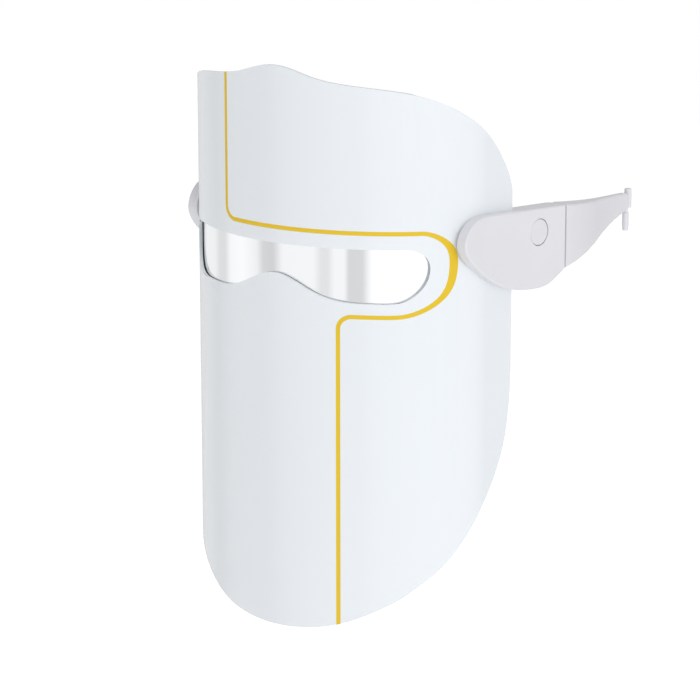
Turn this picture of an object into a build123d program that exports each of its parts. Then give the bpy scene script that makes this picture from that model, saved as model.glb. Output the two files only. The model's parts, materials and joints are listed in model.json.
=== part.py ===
from build123d import *
import os
from math import cos, radians, sin

# LED face mask: a thin curved face shell with a mirrored eye window, a light panel behind it,
# and two temple housings that carry folding arms with pegs for a head strap.
# Millimetres. +Z is up, -Y is the front, +X is the wearer's left.
# The origin is where the nose pad meets the bridge of the wearer's nose, level with the eyes.

# ---------------------------------------------------------------- wall of the mask, seen in plan
STAND_OFF = 36.0         # nose bridge to the shell's outer face
FRONT_RADIUS = 85.0
FRONT_ANGLE = 38.0       # half the front arc
CORNER_RADIUS = 50.0
SIDE_ANGLE = 83.0        # heading of the straight sides, measured from the front
SIDE_RUN = 17.0          # straight part of each side

# ---------------------------------------------------------------- rim, seen from front and side
CROWN_HEIGHT = 85.5      # eye line to the top of the forehead
CHIN_DROP = 154.5        # eye line to the bottom of the chin
JOIN_ANGLE = 45.0        # wall heading where the front view of the rim hands over to the side view
CROWN_SLOPE = 0.36       # fall of the rim at that place
CHIN_SLOPE = 1.0
# wall heading, drop below the crown
CROWN_FRONT = ((0, 0), (6, 1.2), (12, 3.8), (18, 5.6), (26, 7.0), (36, 8.7), (JOIN_ANGLE, 10.4))
# wall heading, rise above the chin
CHIN_FRONT = ((0, 0), (11.5, 1.3), (20, 4.0), (29, 9.1), (37, 15.3), (JOIN_ANGLE, 20.3))
# wall heading, share of the straight side, drop below the crown
CROWN_SIDE = (
    (JOIN_ANGLE, 0, 10.4),
    (60, 0, 15.0),
    (76, 0, 22.9),
    (SIDE_ANGLE, 0.35, 33.7),
    (SIDE_ANGLE, 0.75, 43.5),
    (SIDE_ANGLE, 1, 56.0),
)
# wall heading, share of the straight side, rise above the chin
CHIN_SIDE = (
    (JOIN_ANGLE, 0, 20.3),
    (60, 0, 30.6),
    (76, 0, 45.5),
    (SIDE_ANGLE, 0.32, 61.4),
    (SIDE_ANGLE, 0.68, 73.5),
    (SIDE_ANGLE, 0.92, 91.5),
    (SIDE_ANGLE, 1, 112.0),
)
RIM_REACH = 20.0         # how far the front view of the rim runs on past the side view
SIDE_REACH = 1.0         # how far the side view of the rim runs on past the front view

# ---------------------------------------------------------------- layers, as depths behind the face
SHELL_WALL = 1.4
STRIPE_DEPTH = 0.6
STRIPE_WIDTH = 1.8
GASKET_THICKNESS = 0.5
VISOR_THICKNESS = 1.8
PANEL_WALL = 1.4
CAVITY = 6.6             # between the shell and the light panel
BOARD_THICKNESS = 1.0
BOARD_GAP = 0.5          # between a light board and the panel

gasket_depth = SHELL_WALL
visor_depth = gasket_depth + GASKET_THICKNESS
tunnel_depth = visor_depth + VISOR_THICKNESS
panel_depth = SHELL_WALL + CAVITY
skin_depth = panel_depth + PANEL_WALL
board_depth = panel_depth - BOARD_GAP - BOARD_THICKNESS

# ---------------------------------------------------------------- eye window, front view
EYE_TOP = 11.5
EYE_LOW = -11.5
EYE_REACH = 60.7         # half the window's width
NOTCH_RISE = 10.3        # how far the nose notch lifts the lower edge
# share of the window's half width, share of the notch's rise
EYE_NOTCH = ((0, 1), (0.17, 0.73), (0.33, 0.30), (0.50, 0.06), (0.70, 0))
# set back from the window's end, rise above its lower edge
EYE_END_LOW = ((7.2, 1.4), (1.8, 7.0), (0, 13.5))
# set back from the window's end, drop below its upper edge
EYE_END_TOP = ((1.4, 2.9), (6.7, 0))
VISOR_LAP = 3.2          # visor edge beyond the window
GASKET_SET = 0.4         # gasket's inner edge beyond the window
TUNNEL_SET = 1.0         # inner face of the panel's eye tunnel beyond the window
TUNNEL_WALL = 1.6

# ---------------------------------------------------------------- accent stripe, front view
STRIPE_TOP_X = -28.3     # vertical run up to the crown
STRIPE_LOW_X = 29.2      # vertical run down to the chin
STRIPE_TOP_GAP = 6.7     # run above the window
STRIPE_LOW_GAP = 5.4     # run below the window
STRIPE_END_GAP = 5.6     # loop round the window's left end
STRIPE_BEND = 5.5
# set back from the loop's end, drop below its upper run
STRIPE_LOOP_TOP = ((8.0, 0), (2.6, 3.0), (0, 14.7))
# set back from the loop's end, rise above its lower run
STRIPE_LOOP_LOW = ((3.3, 6.6), (12.0, 0.7), (19.0, 0))

# ---------------------------------------------------------------- light panel
PANEL_INSET = 3.0        # panel rim inside the shell's rim
PANEL_RUN = 6.0          # panel's reach along the straight sides
RIM_WALL = 1.4
LED_LENGTH = 3.5
LED_WIDTH = 2.8
LED_HEIGHT = 0.8
LED_SEAT = 0.05          # solder under each chip
LENS_RADIUS = 3.1
LENS_RISE = 0.6          # lens dome beyond the skin side
LENS_GAP = 0.05
LENS_SHOULDER = (0.55, 0.72)  # place on the dome, as shares of its radius and rise
BOARD_MARGIN = 6.0       # board beyond its outer lights, along Z
BOARD_TURN = 5.0         # board beyond its outer lights, in degrees round the wall
FOREHEAD_LIGHTS = ((-60, -48, -36, -24, -12, 0, 12, 24, 36, 48, 60), (30, 44, 58))
CHEEK_LIGHTS = ((20, 32, 44, 56, 68), (-68, -54, -40, -26))
CHIN_LIGHTS = ((-48, -36, -24, -12, 0, 12, 24, 36, 48), (-118, -104, -90))
RIBBON_THICKNESS = 0.3
RIBBON_ANGLES = (60.0, 65.0)
RIBBON_LAP = 3.0         # ribbon's hold on the boards at its ends
CHIN_RIBBON_ANGLES = (30.0, 36.0)
PANEL_SCREWS = ((30, 70), (76, 46), (79, -50), (60, -98), (14, -142))
BOSS_RADIUS = 2.5
SCREW_RADIUS = 1.0
SCREW_HEAD_RADIUS = 1.9
SCREW_HEAD_HEIGHT = 0.9
SCREW_BITE = 4.5         # thread inside the boss
SCREW_SLACK = 0.15

# ---------------------------------------------------------------- soft parts that meet the face
SOFT_GAP = 0.3
BROW_RADIUS = 92.0       # curve of the wearer's brow in plan
BROW_Y = -3.0
SEAL_SET = 3.0           # seal's inner wall beyond the window
SEAL_WALL = 4.0
NOSE_ARCH_WIDTH = 26.0
NOSE_ARCH_DEPTH = 15.0
NOSE_ARCH_TOP = 5.0      # the seal closes over the nose above this height
NOSE_RADIUS = 7.5        # inside the nose pad
NOSE_CHEEK_LENGTH = 7.0  # straight sides of the pad beyond its arch
NOSE_PAD_WALL = 3.0
NOSE_PAD_Z = (-20.0, 0.0)
NOSE_YOKE_WALL = 1.6
NOSE_STEM_WIDTH = 6.0
NOSE_FOOT_WIDTH = 16.0
NOSE_STEM_Z = (-19.0, -12.0)
NOSE_YOKE_LENGTH = 1.0   # straight sides of the bracket's yoke beyond its arch
FOREHEAD_PAD_TURN = 22.0 # half the pad's width, in degrees round the wall
FOREHEAD_PAD_Z = (63.0, 73.0)
FOREHEAD_PAD_DEPTH = 14.0

# ---------------------------------------------------------------- temple housings, side view
# Along each side: "run" is measured back from the corner, "depth" inward from the shell's face.
COVER_RISE = 4.1         # outer face beyond the shell's face
COVER_SKIRT = 0.7        # cover's rim behind the shell's face, ahead of the straight side
NOSE_RIB_SET = 3.0       # rib that closes the cover's nose onto the shell, inside its outline
NOSE_RIB_RUN = -4.0      # run at which that rib ends
HOUSING_DEPTH = 5.0      # inner face behind the shell's face
HOUSING_WALL = 1.5
HOUSING_ROUND = 0.8
HINGE_RUN = 47.7
HINGE_TOP = 21.2
HINGE_LOW = -6.2
HOUSING_TOP = 23.6
HOUSING_OUTLINE = ((-2.3, HOUSING_TOP), (-11.9, 21.1), (-17.1, 13.0), (-9.7, 2.4),
                   (6.7, -8.0), (25.7, -12.1), (37.7, -11.2), (HINGE_RUN, HINGE_LOW))
HOUSING_END_SLOPE = 0.5  # rise of the lower edge at the hinge
BASE_START = 7.0         # run at which the housing's inner half begins
HINGE_WALL = 5.5         # solid end of the housing around the hinge
EDGE_SLOT = 0.1          # clearance round the shell's rear edge inside the housing
HOUSING_SCREWS = ((12.5, 11.5), (12.5, -4.0))
HOUSING_BOSS_RADIUS = 2.2
HOUSING_BITE = 1.6       # thread inside the cover

# ---------------------------------------------------------------- power button
BUTTON_RUN = 30.0
BUTTON_Z = 11.9
BUTTON_RADIUS = 5.6
BUTTON_GAP = 0.25
BUTTON_SET = 0.1         # cap below the housing's face
BUTTON_ROUND = 0.5
BUTTON_FLANGE = 0.9
BUTTON_FLANGE_THICKNESS = 0.6
BUTTON_FLANGE_GAP = 0.2
BUTTON_TRAVEL = 0.5
BUTTON_STEM_RADIUS = 1.5
SWITCH_SIZE = 6.0
SWITCH_HEIGHT = 1.1
PLUNGER_RADIUS = 1.2
PLUNGER_GAP = 0.1
CONTROL_BOARD_DEPTH = 0.6
CONTROL_BOARD_THICKNESS = 1.0
CONTROL_BOARD_RUN = (19.0, 40.5)
CONTROL_BOARD_Z = (-6.5, 18.0)
CONTROL_POSTS = ((22.0, -4.0), (38.0, 0.0), (38.0, 15.0))
POST_RADIUS = 1.4
CHIP_HEIGHT = 1.0
CHIPS = ((25.0, 3.0, 5.0), (32.0, -2.5, 4.0), (33.5, 9.0, 3.0))  # run, z, side

# ---------------------------------------------------------------- battery and charging socket
BATTERY_RUN = (19.0, 40.5)
BATTERY_Z = (-1.5, 19.0)
BATTERY_THICKNESS = 4.8
BATTERY_ROUND = 1.0
PORT_RUN = 28.0
PORT_WIDTH = 8.94
PORT_THICKNESS = 3.26
PORT_LENGTH = 7.3
PORT_ROUND = 1.4
PORT_WALL = 0.3
PORT_BACK = 1.0
PORT_RECESS = 0.4
PORT_GAP = 0.15
TONGUE_WIDTH = 6.7
TONGUE_THICKNESS = 0.7
TONGUE_LENGTH = 4.6
CHARGE_BOARD_RUN = (19.5, 37.0)
CHARGE_BOARD_Z = (-9.0, -2.5)
CHARGE_BOARD_THICKNESS = 0.9

# ---------------------------------------------------------------- leads from housing to panel
LEAD_THICKNESS = 0.4
LEAD_LAP = 3.0           # lead's hold on the control board
LEAD_Z = (16.5, 21.0)
LEAD_ANGLE = 60.5
LEAD_SLACK = 0.2
SOCKET_ANGLES = (61.0, 64.5)
SOCKET_Z = (17.0, 20.5)

# ---------------------------------------------------------------- hinge and arm
HINGE_DEPTH = 2.7        # hinge axis behind the shell's face
KNUCKLE_RADIUS = 2.3
KNUCKLE_SLACK = 0.3
KNUCKLE_Z = (2.0, 14.0)  # the housing's knuckle; the arm's two knuckles lie above and below it
WASHER_THICKNESS = 0.4
WASHER_SLACK = 0.05
PIN_RADIUS = 1.0
PIN_GAP = 0.04
PIN_CHAMFER = 0.2
PIN_Z = (-5.2, 18.8)
KNUCKLE_TOP = 19.5       # top of the arm's upper knuckle, under the housing's top wall
FOLD_RELIEF = 42.0       # each side of the fold notch, from the parting plane
ARM_SLIT = 0.4
ARM_BEND_RADIUS = 80.0
ARM_BEND = 20.0
ARM_RETURN_RADIUS = 160.0
ARM_RETURN = 10.0
ARM_TIP_RUN = 3.1        # straight end behind the second bend
ARM_MIDDLE_THICKNESS = 5.4
ARM_TIP_THICKNESS = 3.0
ARM_ROUND = 0.8
ARM_TOP = ((HINGE_RUN, HINGE_TOP), (60.7, 19.8), (80.7, 18.1), (115.0, 15.7))
ARM_LOW = ((HINGE_RUN, HINGE_LOW), (60.7, -3.2), (76.7, 1.5), (92.7, 5.9), (115.0, 9.9))

# ---------------------------------------------------------------- strap hook
HOOK_BLOCK_RADIUS = 1.6
HOOK_BLOCK_Z = (9.5, 18.0)
HOOK_PEG_RADIUS = 1.45
HOOK_PEG_END_RADIUS = 1.2
HOOK_NECK_RADIUS = 1.15
HOOK_NECK_Z = 7.5        # the peg is thinner above this height, beside the arm
HOOK_PEG_Z = (-0.5, 10.5)
HOOK_TAPER = 2.4
HOOK_SET = 1.5           # peg's axis behind the arm's end
HOOK_STEP = 1.9          # block's axis behind the peg's
BRIDGE_WIDTH = 2.4       # joins block, peg and arm
BRIDGE_TOP = 15.6
HOOK_ROUND = 0.6
TENON_LENGTH = 5.0       # tongue that is bonded into the arm
TENON_THICKNESS = 1.2
TENON_Z = (11.8, 14.8)
HOOK_GAP = 0.05

SPAN = 200.0             # longer than the mask in any direction
SHIFT_STEPS = 16         # points that carry a curve drawn beside another

lead_depth = CONTROL_BOARD_DEPTH + CONTROL_BOARD_THICKNESS
ribbon_depth = board_depth - RIBBON_THICKNESS
cover_inside = HOUSING_WALL - COVER_RISE
base_inside = HOUSING_DEPTH - HOUSING_WALL
charge_board_depth = base_inside - CHARGE_BOARD_THICKNESS
port_depth = charge_board_depth - PORT_THICKNESS / 2
housing_end = HINGE_RUN - ARM_SLIT / 2
cavity_end = housing_end - HINGE_WALL
arm_start = HINGE_RUN + ARM_SLIT / 2

# ================================================================ the wall in plan

front_y = -STAND_OFF
front_centre = (0.0, front_y + FRONT_RADIUS)
corner_shift = FRONT_RADIUS - CORNER_RADIUS
corner_centre = (
    corner_shift * sin(radians(FRONT_ANGLE)),
    front_centre[1] - corner_shift * cos(radians(FRONT_ANGLE)),
)
wall_arcs = (
    (-SIDE_ANGLE, -FRONT_ANGLE, (-corner_centre[0], corner_centre[1]), CORNER_RADIUS),
    (-FRONT_ANGLE, FRONT_ANGLE, front_centre, FRONT_RADIUS),
    (FRONT_ANGLE, SIDE_ANGLE, corner_centre, CORNER_RADIUS),
)


def wall_point(angle, depth=0.0, run=0.0):
    """Plan point where the wall heads `angle` away from the front, then `run` along that heading."""
    for low, high, centre, radius in wall_arcs:
        if low <= angle <= high:
            turn = radians(angle)
            reach = radius - depth
            side = 1 if angle > 0 else -1
            x = centre[0] + reach * sin(turn) + side * run * cos(turn)
            y = centre[1] - reach * cos(turn) + side * run * sin(turn)
            return (x, y)
    raise ValueError(f"the wall never heads {angle} degrees")


def draw_wall(depth, start, end, run):
    """Draw the plan curve at one depth, from one heading to another, with straight ends of `run`."""
    for low, high, centre, radius in wall_arcs:
        first = max(start, low)
        last = min(end, high)
        if first < last:
            CenterArc(centre, radius - depth, first - 90, last - first)
    if run and end == SIDE_ANGLE:
        Line(wall_point(end, depth), wall_point(end, depth, run))
    if run and start == -SIDE_ANGLE:
        Line(wall_point(start, depth), wall_point(start, depth, run))


def wall_slab(near, far, low=-SPAN, high=SPAN, start=-SIDE_ANGLE, end=SIDE_ANGLE, run=0.0):
    """Curved slab between two depths, two heights and two headings."""
    with BuildPart() as slab:
        with BuildSketch(Plane.XY.offset(low)):
            with BuildLine():
                draw_wall(near, start, end, run)
                draw_wall(far, start, end, run)
                for angle, limit in ((start, -SIDE_ANGLE), (end, SIDE_ANGLE)):
                    reach = run if angle == limit else 0.0
                    Line(wall_point(angle, near, reach), wall_point(angle, far, reach))
            make_face()
        extrude(amount=high - low)
    return slab.part


def wall_plane(angle, height, depth):
    """Plane lying on the wall at one depth, with its normal towards the wearer."""
    x, y = wall_point(angle, depth)
    turn = radians(angle)
    return Plane(origin=(x, y, height), x_dir=(cos(turn), sin(turn), 0), z_dir=(-sin(turn), cos(turn), 0))


def both_sides(places):
    """The given (heading, height) places and their mirror images."""
    return [(side * angle, height) for side in (1, -1) for angle, height in places]


# ================================================================ the rim


def draw_smooth(points, tangents, shift=0.0):
    """Draw the smooth curve through `points`, moved to its own left by `shift`."""
    curve = Spline(*points, tangents=tangents, tangent_scalars=(1, 1), mode=Mode.PRIVATE)
    places = points
    if shift:
        shares = [step / SHIFT_STEPS for step in range(SHIFT_STEPS + 1)]
        places = [curve @ share + shift * (curve % share).rotate(Axis.Z, 90) for share in shares]
    return Spline(*places, tangents=(curve % 0, curve % 1), tangent_scalars=(1, 1))


def front_outline(depth, inset):
    """Front view of the rim. It runs on past the sides, where the side view takes over."""
    crown = [(wall_point(angle, depth)[0], CROWN_HEIGHT - drop) for angle, drop in CROWN_FRONT]
    chin = [(wall_point(angle, depth)[0], rise - CHIN_DROP) for angle, rise in CHIN_FRONT]
    with BuildSketch(Plane.XZ) as outline:
        with BuildLine():
            top = draw_smooth(crown, ((1, 0), (1, -CROWN_SLOPE)), -inset)
            bottom = draw_smooth(chin, ((1, 0), (1, CHIN_SLOPE)), inset)
            Polyline(
                top @ 1,
                top @ 1 + Vector(RIM_REACH, -CROWN_SLOPE * RIM_REACH),
                bottom @ 1 + Vector(RIM_REACH, CHIN_SLOPE * RIM_REACH),
                bottom @ 1,
            )
            Line(bottom @ 0, top @ 0)
        make_face()
        mirror(about=Plane.YZ)
    return outline.sketch


def side_outline(depth, inset):
    """Side view of the rim. It runs on past the front, where the front view takes over."""
    crown = [(wall_point(a, depth, s * SIDE_RUN)[1], CROWN_HEIGHT - drop) for a, s, drop in CROWN_SIDE]
    chin = [(wall_point(a, depth, s * SIDE_RUN)[1], rise - CHIN_DROP) for a, s, rise in CHIN_SIDE]
    with BuildSketch(Plane.YZ) as outline:
        with BuildLine():
            top = draw_smooth(crown, ((1, -CROWN_SLOPE), (0, -1)), -inset)
            bottom = draw_smooth(chin, ((1, CHIN_SLOPE), (0, 1)), inset)
            Line(top @ 1, bottom @ 1)
            Polyline(
                top @ 0,
                top @ 0 + Vector(-SIDE_REACH, CROWN_SLOPE * SIDE_REACH),
                ((top @ 0).X - SIDE_REACH, SPAN),
                (-SPAN, SPAN),
                (-SPAN, -SPAN),
                ((bottom @ 0).X - SIDE_REACH, -SPAN),
                bottom @ 0 + Vector(-SIDE_REACH, -CHIN_SLOPE * SIDE_REACH),
                bottom @ 0,
            )
        make_face()
    return outline.sketch


def rim_slab(near, far, inset=0.0, run=SIDE_RUN):
    """Slab of the wall between two depths, cut to the rim set in by `inset`."""
    middle = (near + far) / 2
    with BuildPart() as slab:
        add(wall_slab(near, far, run=run))
        extrude(front_outline(middle, inset), amount=SPAN, both=True, mode=Mode.INTERSECT)
        extrude(side_outline(middle, inset), amount=SPAN, both=True, mode=Mode.INTERSECT)
    return slab.part


# ================================================================ eye window and stripe outlines


def eye_outline(beyond, reach=EYE_REACH):
    """Front view of the eye window, with the given half width, grown by `beyond`."""
    points = [(share * reach, EYE_LOW + rise * NOTCH_RISE) for share, rise in EYE_NOTCH]
    points += [(reach - back, EYE_LOW + rise) for back, rise in EYE_END_LOW]
    points += [(reach - back, EYE_TOP - drop) for back, drop in EYE_END_TOP]
    with BuildSketch(Plane.XZ) as outline:
        with BuildLine():
            curve = draw_smooth(points, ((1, 0), (-1, 0)), -beyond)
            Polyline(curve @ 1, (0, EYE_TOP + beyond), curve @ 0)
        make_face()
        mirror(about=Plane.YZ)
    return outline.sketch


def stripe_side(shift):
    """Draw the stripe's path, moved to its own left by `shift`; return where it starts and ends."""
    high = EYE_TOP + STRIPE_TOP_GAP
    low = EYE_LOW - STRIPE_LOW_GAP
    reach = EYE_REACH + STRIPE_END_GAP
    bend = STRIPE_BEND - shift
    loop = [(reach - back, high - drop) for back, drop in STRIPE_LOOP_TOP]
    loop += [(reach - back, low + rise) for back, rise in STRIPE_LOOP_LOW]
    curve = draw_smooth(loop, ((1, 0), (-1, 0)), shift)
    start = (STRIPE_TOP_X + shift, SPAN / 2)
    end = (STRIPE_LOW_X + shift, -SPAN)
    FilletPolyline(start, (start[0], high + shift), curve @ 0, radius=bend)
    FilletPolyline(curve @ 1, (end[0], low - shift), end, radius=bend)
    return (start, end)


def stripe_outline():
    """Front view of the stripe: down from the crown, round the window's left end, down to the chin."""
    with BuildSketch(Plane.XZ) as outline:
        with BuildLine():
            inner_start, inner_end = stripe_side(STRIPE_WIDTH / 2)
            outer_start, outer_end = stripe_side(-STRIPE_WIDTH / 2)
            Line(inner_start, outer_start)
            Line(inner_end, outer_end)
        make_face()
    return outline.sketch


# ================================================================ frames beside the temples

corner_end = wall_point(SIDE_ANGLE)
side_turn = radians(SIDE_ANGLE)
side_heading = (cos(side_turn), sin(side_turn), 0)
outward = (sin(side_turn), -cos(side_turn), 0)


def side_plan(height):
    """Level plane at the wearer's left temple: x is run, y is depth."""
    return Plane(origin=(*corner_end, height), x_dir=side_heading, z_dir=(0, 0, 1))


def side_face(depth):
    """Upright plane at the wearer's left temple: x is run, y is height, normal pointing outward."""
    return Plane(
        origin=(*wall_point(SIDE_ANGLE, depth), 0),
        x_dir=side_heading,
        z_dir=outward,
    )


def light_places(lights):
    """Heading and height of every light in one group."""
    angles, heights = lights
    return [(angle, height) for height in heights for angle in angles]


# ================================================================ shell, stripe and visor

panel_screw_places = both_sides(PANEL_SCREWS)
right_cheek = (tuple(-angle for angle in CHEEK_LIGHTS[0]), CHEEK_LIGHTS[1])
light_groups = {
    "forehead": FOREHEAD_LIGHTS,
    "left_cheek": CHEEK_LIGHTS,
    "right_cheek": right_cheek,
    "chin": CHIN_LIGHTS,
}
all_lights = [place for lights in light_groups.values() for place in light_places(lights)]
pieces = {}

with BuildPart() as accent_stripe:
    add(rim_slab(0, STRIPE_DEPTH))
    extrude(stripe_outline(), amount=SPAN, both=True, mode=Mode.INTERSECT)

with BuildPart() as front_shell:
    add(rim_slab(0, SHELL_WALL))
    extrude(eye_outline(0), amount=SPAN, both=True, mode=Mode.SUBTRACT)
    add(accent_stripe.part, mode=Mode.SUBTRACT)
    with BuildSketch(*[wall_plane(angle, z, SHELL_WALL) for angle, z in panel_screw_places]):
        Circle(BOSS_RADIUS)
        Circle(SCREW_RADIUS, mode=Mode.SUBTRACT)
    extrude(amount=CAVITY)
    with BuildPart(mode=Mode.PRIVATE) as left_screw_holes:
        with BuildSketch(side_face(0)):
            with Locations(*HOUSING_SCREWS):
                Circle(SCREW_RADIUS + SCREW_SLACK)
        extrude(amount=-SHELL_WALL)
    add(left_screw_holes.part, mode=Mode.SUBTRACT)
    add(left_screw_holes.part.mirror(Plane.YZ), mode=Mode.SUBTRACT)

with BuildPart() as visor_gasket:
    add(wall_slab(gasket_depth, visor_depth, run=SIDE_RUN))
    extrude(eye_outline(VISOR_LAP), amount=SPAN, both=True, mode=Mode.INTERSECT)
    extrude(eye_outline(GASKET_SET), amount=SPAN, both=True, mode=Mode.SUBTRACT)

with BuildPart() as eye_visor:
    add(wall_slab(visor_depth, tunnel_depth, run=SIDE_RUN))
    extrude(eye_outline(VISOR_LAP), amount=SPAN, both=True, mode=Mode.INTERSECT)

# ================================================================ light panel and its boards

# The panel's eye opening ends on the same wall heading as the window in front of it.
window_end_sine = (EYE_REACH - corner_centre[0]) / CORNER_RADIUS
panel_eye_reach = corner_centre[0] + (CORNER_RADIUS - skin_depth) * window_end_sine

with BuildPart() as light_panel:
    add(rim_slab(SHELL_WALL, skin_depth, PANEL_INSET, PANEL_RUN))
    add(
        rim_slab(SHELL_WALL, panel_depth, PANEL_INSET + RIM_WALL, PANEL_RUN - RIM_WALL),
        mode=Mode.SUBTRACT,
    )
    with BuildPart(mode=Mode.PRIVATE) as eye_tunnel:
        add(wall_slab(tunnel_depth, skin_depth))
        extrude(
            eye_outline(TUNNEL_SET + TUNNEL_WALL, panel_eye_reach),
            amount=SPAN,
            both=True,
            mode=Mode.INTERSECT,
        )
    add(eye_tunnel.part)
    extrude(eye_outline(TUNNEL_SET, panel_eye_reach), amount=SPAN, both=True, mode=Mode.SUBTRACT)
    with BuildSketch(*[wall_plane(angle, z, panel_depth) for angle, z in panel_screw_places]):
        Circle(SCREW_RADIUS + SCREW_SLACK)
    extrude(amount=PANEL_WALL, mode=Mode.SUBTRACT)
    head_seat = skin_depth - SCREW_HEAD_HEIGHT
    with BuildSketch(*[wall_plane(angle, z, head_seat) for angle, z in panel_screw_places]):
        Circle(SCREW_HEAD_RADIUS + SCREW_SLACK)
    extrude(amount=2 * SCREW_HEAD_HEIGHT, mode=Mode.SUBTRACT)
    for side in (1, -1):
        first, last = sorted((side * JOIN_ANGLE, side * SIDE_ANGLE))
        add(
            wall_slab(
                SHELL_WALL,
                lead_depth + LEAD_THICKNESS + LEAD_SLACK,
                LEAD_Z[0] - LEAD_SLACK,
                LEAD_Z[1] + LEAD_SLACK,
                first,
                last,
                PANEL_RUN,
            ),
            mode=Mode.SUBTRACT,
        )
    with BuildSketch(*[wall_plane(angle, z, panel_depth) for angle, z in all_lights]):
        Circle(LENS_RADIUS + LENS_GAP)
    extrude(amount=PANEL_WALL + LENS_RISE, mode=Mode.SUBTRACT)

chip_depth = board_depth + BOARD_THICKNESS + LED_SEAT
lens_base = chip_depth + LED_HEIGHT + LENS_GAP - panel_depth

with BuildPart() as led_lens:
    with BuildSketch(Plane.XZ):
        with BuildLine():
            rim = Line((LENS_RADIUS, PANEL_WALL), (LENS_RADIUS, lens_base))
            Polyline(rim @ 1, (0, lens_base), (0, PANEL_WALL + LENS_RISE))
            ThreePointArc(
                (0, PANEL_WALL + LENS_RISE),
                (LENS_RADIUS * LENS_SHOULDER[0], PANEL_WALL + LENS_RISE * LENS_SHOULDER[1]),
                rim @ 0,
            )
        make_face()
    revolve(axis=Axis.Z)

with BuildPart() as led_chip:
    Box(LED_LENGTH, LED_WIDTH, LED_HEIGHT, align=(Align.CENTER, Align.CENTER, Align.MIN))

for group, lights in light_groups.items():
    angles, heights = lights
    with BuildPart() as board:
        add(
            wall_slab(
                board_depth,
                board_depth + BOARD_THICKNESS,
                min(heights) - BOARD_MARGIN,
                max(heights) + BOARD_MARGIN,
                min(angles) - BOARD_TURN,
                max(angles) + BOARD_TURN,
            )
        )
        for outline in (front_outline, side_outline):
            room = outline((SHELL_WALL + panel_depth) / 2, PANEL_INSET + RIM_WALL + SOFT_GAP)
            extrude(room, amount=SPAN, both=True, mode=Mode.INTERSECT)
    with BuildPart() as chips:
        with Locations(*[wall_plane(angle, z, chip_depth) for angle, z in light_places(lights)]):
            add(led_chip.part)
    with BuildPart() as lenses:
        with Locations(*[wall_plane(angle, z, panel_depth) for angle, z in light_places(lights)]):
            add(led_lens.part)
    pieces[group + "_light_board"] = board.part
    pieces[group + "_led_chips"] = chips.part
    pieces[group + "_led_lenses"] = lenses.part

forehead_low = min(FOREHEAD_LIGHTS[1]) - BOARD_MARGIN
cheek_low = min(CHEEK_LIGHTS[1]) - BOARD_MARGIN
cheek_high = max(CHEEK_LIGHTS[1]) + BOARD_MARGIN
chin_high = max(CHIN_LIGHTS[1]) + BOARD_MARGIN

with BuildPart() as left_panel_ribbon:
    add(
        wall_slab(
            ribbon_depth,
            board_depth,
            cheek_high - RIBBON_LAP,
            forehead_low + RIBBON_LAP,
            *RIBBON_ANGLES,
        )
    )

with BuildPart() as left_chin_ribbon:
    add(
        wall_slab(
            ribbon_depth,
            board_depth,
            chin_high - RIBBON_LAP,
            cheek_low + RIBBON_LAP,
            *CHIN_RIBBON_ANGLES,
        )
    )

with BuildPart() as left_lead_socket:
    add(wall_slab(lead_depth + LEAD_THICKNESS, ribbon_depth, *SOCKET_Z, *SOCKET_ANGLES))

with BuildPart() as panel_screws:
    with BuildSketch(*[wall_plane(angle, z, skin_depth) for angle, z in panel_screw_places]):
        Circle(SCREW_HEAD_RADIUS)
    extrude(amount=-SCREW_HEAD_HEIGHT)
    with BuildSketch(*[wall_plane(angle, z, skin_depth) for angle, z in panel_screw_places]):
        Circle(SCREW_RADIUS)
    extrude(amount=-(PANEL_WALL + SCREW_BITE))

# ================================================================ soft parts that meet the face

with BuildPart() as inner_room:
    with BuildSketch(Plane.XY.offset(-SPAN)):
        with BuildLine():
            draw_wall(skin_depth + SOFT_GAP, -SIDE_ANGLE, SIDE_ANGLE, SIDE_RUN)
            Line(
                wall_point(-SIDE_ANGLE, skin_depth + SOFT_GAP, SIDE_RUN),
                wall_point(SIDE_ANGLE, skin_depth + SOFT_GAP, SIDE_RUN),
            )
        make_face()
    extrude(amount=2 * SPAN)

with BuildPart() as eye_seal:
    extrude(eye_outline(SEAL_SET + SEAL_WALL, panel_eye_reach), amount=SPAN, both=True)
    extrude(eye_outline(SEAL_SET, panel_eye_reach), amount=SPAN, both=True, mode=Mode.SUBTRACT)
    add(inner_room.part, mode=Mode.INTERSECT)
    with Locations((0, BROW_Y + BROW_RADIUS, 0)):
        Cylinder(BROW_RADIUS, 2 * SPAN, mode=Mode.SUBTRACT)
    with BuildSketch(Plane.XY.offset(NOSE_ARCH_TOP)):
        with Locations((0, BROW_Y)):
            SlotCenterToCenter(2 * NOSE_ARCH_DEPTH - NOSE_ARCH_WIDTH, NOSE_ARCH_WIDTH, rotation=90)
    extrude(amount=-SPAN, mode=Mode.SUBTRACT)

pad_reach = NOSE_RADIUS + NOSE_PAD_WALL
yoke_inside = pad_reach + SOFT_GAP
yoke_reach = yoke_inside + NOSE_YOKE_WALL


def nose_arch(inner, outer, length):
    """Plan view of an arch round the nose, with straight sides of the given length."""
    with BuildSketch() as arch:
        with Locations((0, NOSE_RADIUS)):
            Circle(outer)
            Rectangle(2 * outer, length, align=(Align.CENTER, Align.MIN))
            Circle(inner, mode=Mode.SUBTRACT)
            Rectangle(2 * inner, 2 * outer, align=(Align.CENTER, Align.MIN), mode=Mode.SUBTRACT)
        with Locations((0, NOSE_RADIUS + length)):
            Rectangle(2 * outer, outer, align=(Align.CENTER, Align.MIN), mode=Mode.SUBTRACT)
    return arch.sketch


with BuildPart() as nose_pad:
    with BuildSketch(Plane.XY.offset(NOSE_PAD_Z[0])):
        add(nose_arch(NOSE_RADIUS, pad_reach, NOSE_CHEEK_LENGTH))
    extrude(amount=NOSE_PAD_Z[1] - NOSE_PAD_Z[0])

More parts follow.
